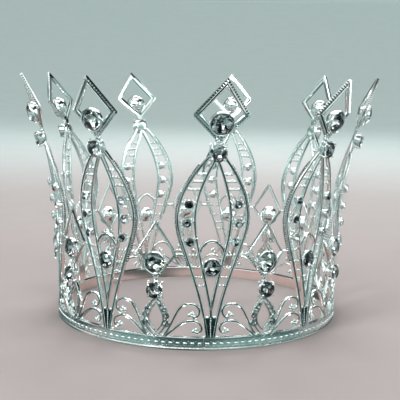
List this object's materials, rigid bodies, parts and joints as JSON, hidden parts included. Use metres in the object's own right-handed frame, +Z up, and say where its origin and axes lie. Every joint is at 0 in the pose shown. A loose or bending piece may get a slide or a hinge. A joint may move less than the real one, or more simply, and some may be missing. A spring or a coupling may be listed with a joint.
{
  "type": "crown",
  "caption": "Full-round openwork hair crown: tall kite-topped spires and small drop motifs on a beaded base band, set with clear faceted stones.",
  "frame": {"origin": "on the ring's axis, in the plane of the base band's lower edge", "axes": "+Z up along the ring's axis, towards the spires' tips; -Y out through the middle of spire_1"},
  "size_m": [0.1617, 0.1603, 0.11],
  "materials": {
    "silver_band": "bright silver plating over a cast beaded band, softly uneven",
    "silver_casting": "bright silver plating over thin openwork castings with beaded edges",
    "silver_setting": "polished silver plating on smooth cups and claws",
    "clear_crystal": "clear faceted rhinestones, foil-backed"
  },
  "bodies": {
    "root": {"band_segment_1": "silver_band", "band_segment_2": "silver_band", "band_segment_3": "silver_band", "band_segment_4": "silver_band", "band_segment_5": "silver_band", "band_segment_6": "silver_band", "band_segment_7": "silver_band", "band_segment_8": "silver_band", "band_segment_9": "silver_band", "spire_1": "silver_casting", "spire_2": "silver_casting", "spire_3": "silver_casting", "spire_4": "silver_casting", "spire_5": "silver_casting", "spire_6": "silver_casting", "spire_7": "silver_casting", "spire_8": "silver_casting", "spire_9": "silver_casting", "drop_motif_1": "silver_casting", "drop_motif_2": "silver_casting", "drop_motif_3": "silver_casting", "drop_motif_4": "silver_casting", "drop_motif_5": "silver_casting", "drop_motif_6": "silver_casting", "drop_motif_7": "silver_casting", "drop_motif_8": "silver_casting", "drop_motif_9": "silver_casting", "crest_cups": "silver_setting", "crest_stones": "clear_crystal", "collar_claw_settings": "silver_setting", "collar_stones": "clear_crystal", "arch_cups": "silver_setting", "arch_stones": "clear_crystal", "drop_cups": "silver_setting", "drop_stones": "clear_crystal", "pendant_claw_settings": "silver_setting", "pendant_stones": "clear_crystal", "blade_cups": "silver_setting", "blade_stones": "clear_crystal", "loop_stones": "clear_crystal", "link_bars": "silver_casting"}
  },
  "joints": []
}
